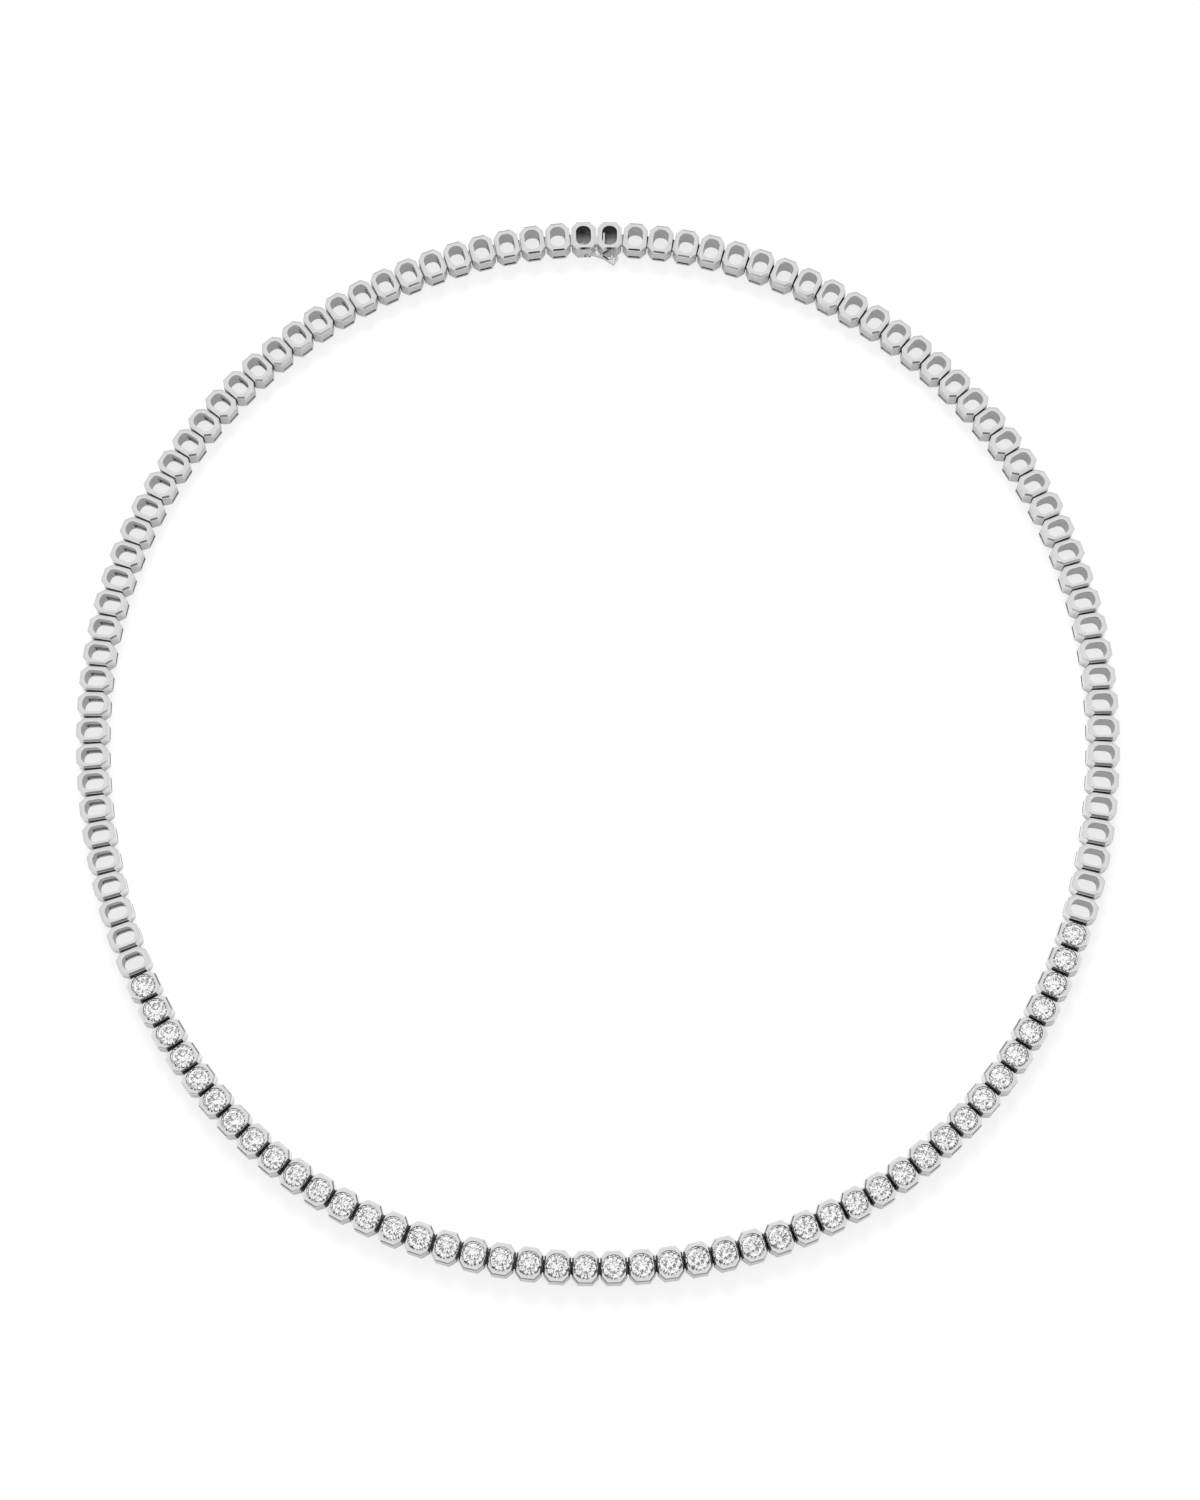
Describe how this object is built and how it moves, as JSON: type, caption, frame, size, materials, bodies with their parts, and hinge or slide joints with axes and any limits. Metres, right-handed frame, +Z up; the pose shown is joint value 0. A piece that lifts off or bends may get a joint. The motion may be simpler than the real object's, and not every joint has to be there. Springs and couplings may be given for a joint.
{
  "type": "riviere necklace",
  "caption": "Riviere necklace: closed ring of octagonal box links, round brilliants in bezels along the front, box clasp with side safety catch.",
  "frame": {"origin": "centre of the bounding box's footprint, on the surface that the necklace lies on", "axes": "+Z up through the links' faces, +Y from the stones at the front to the clasp at the back, +X to the right seen from above with the clasp away"},
  "size_m": [0.1336, 0.1412, 0.0027],
  "materials": {
    "white_gold": "polished white gold, bright and near mirror smooth",
    "diamond": "clear colourless brilliant-cut stone, polished facets"
  },
  "bodies": {
    "chain": {"open_links": "white_gold", "stone_links": "white_gold", "clasp_box": "white_gold", "clasp_tongue": "white_gold", "stone_01": "diamond", "stone_02": "diamond", "stone_03": "diamond", "stone_04": "diamond", "stone_05": "diamond", "stone_06": "diamond", "stone_07": "diamond", "stone_08": "diamond", "stone_09": "diamond", "stone_10": "diamond", "stone_11": "diamond", "stone_12": "diamond", "stone_13": "diamond", "stone_14": "diamond", "stone_15": "diamond", "stone_16": "diamond", "stone_17": "diamond", "stone_18": "diamond", "stone_19": "diamond", "stone_20": "diamond", "stone_21": "diamond", "stone_22": "diamond", "stone_23": "diamond", "stone_24": "diamond", "stone_25": "diamond", "stone_26": "diamond", "stone_27": "diamond", "stone_28": "diamond", "stone_29": "diamond", "stone_30": "diamond", "stone_31": "diamond", "stone_32": "diamond", "stone_33": "diamond", "stone_34": "diamond", "stone_35": "diamond", "stone_36": "diamond", "stone_37": "diamond", "stone_38": "diamond", "stone_39": "diamond", "stone_40": "diamond", "stone_41": "diamond", "stone_42": "diamond", "stone_43": "diamond", "stone_44": "diamond"},
    "catch": {"safety_catch": "white_gold"}
  },
  "joints": [
    {"name": "safety_catch_hinge", "type": "hinge", "parent": "chain", "child": "catch", "pos_m": [-0.00123, 0.06674, 0.00055], "axis": [0, 0, -1], "range_deg": [0, 100]}
  ]
}
